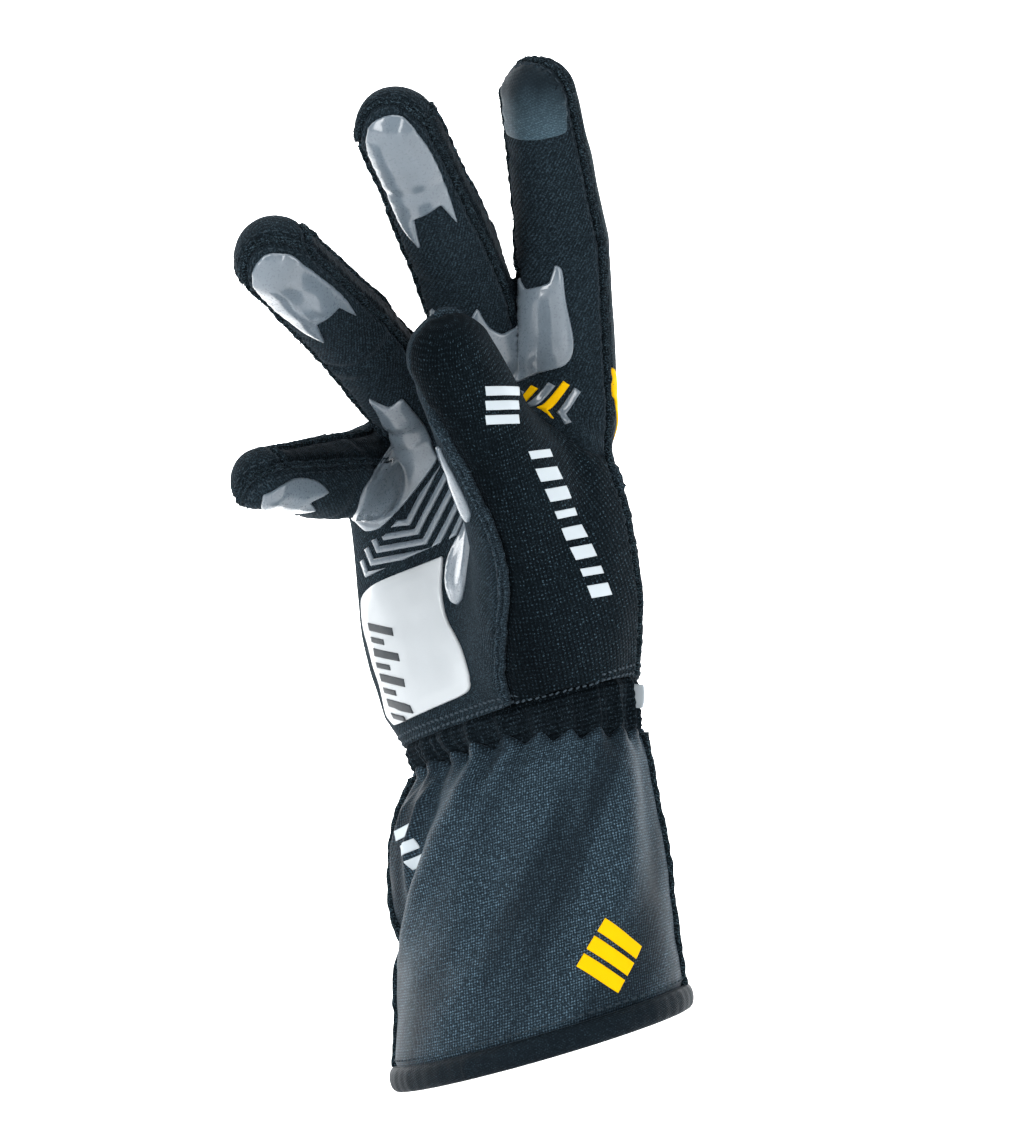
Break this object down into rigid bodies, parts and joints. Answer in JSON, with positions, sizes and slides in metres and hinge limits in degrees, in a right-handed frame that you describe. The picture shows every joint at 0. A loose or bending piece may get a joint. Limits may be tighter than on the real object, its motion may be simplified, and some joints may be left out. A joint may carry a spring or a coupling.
{
  "type": "sim racing glove",
  "caption": "Right-hand sim racing glove with a long flared cuff, kept in its worn shape: knit and twill panels, raised silicone pads, gathered wrist.",
  "frame": {"origin": "middle of the wrist inside the glove, where the wrist's axis passes the wrist seam", "axes": "+Z from the wrist towards the knuckles and fingertips, +X towards the thumb side, -Y the way the palm faces"},
  "size_m": [0.0964, 0.1446, 0.2848],
  "materials": {
    "palm_twill": "matte black-blue twill",
    "back_knit": "matte black-blue fine knit",
    "thumb_knit": "matte black coarse knit",
    "side_knit": "matte black knit with raw-edge outseams",
    "elastic": "gathered elastic knit and hem",
    "cuff_weave": "matte dark grey fine weave",
    "touch_patch": "matte grey conductive knit",
    "silicone_grey": "glossy raised silicone",
    "silicone_white": "satin raised silicone",
    "print_yellow": "satin raised print"
  },
  "bodies": {
    "root": {"palm_panel": "palm_twill", "back_panel": "back_knit", "thumb_panel": "thumb_knit", "fourchette_index_middle": "side_knit", "fourchette_middle_ring": "side_knit", "fourchette_ring_pinky": "side_knit", "wrist_band": "elastic", "cuff_front": "cuff_weave", "cuff_back": "cuff_weave", "cuff_hem": "elastic", "touch_patch_index": "touch_patch", "pad_middle_tip": "silicone_grey", "pad_ring_tip": "silicone_grey", "pad_pinky_tip": "silicone_grey", "pad_index_middle_base": "silicone_grey", "pad_ring_pinky_base": "silicone_grey", "pad_thumb_strip": "silicone_grey", "pad_thumb_drop": "silicone_grey", "palm_block": "silicone_white", "knuckle_print": "print_yellow", "cuff_mark": "print_yellow", "palm_chevron_1": "silicone_grey", "palm_chevron_2": "silicone_grey", "palm_chevron_3": "silicone_grey", "palm_chevron_4": "silicone_grey", "palm_chevron_5": "silicone_grey", "side_chevron_1": "silicone_grey", "side_chevron_2": "print_yellow", "side_chevron_3": "silicone_grey", "side_chevron_4": "print_yellow", "side_chevron_5": "silicone_grey"}
  },
  "joints": []
}
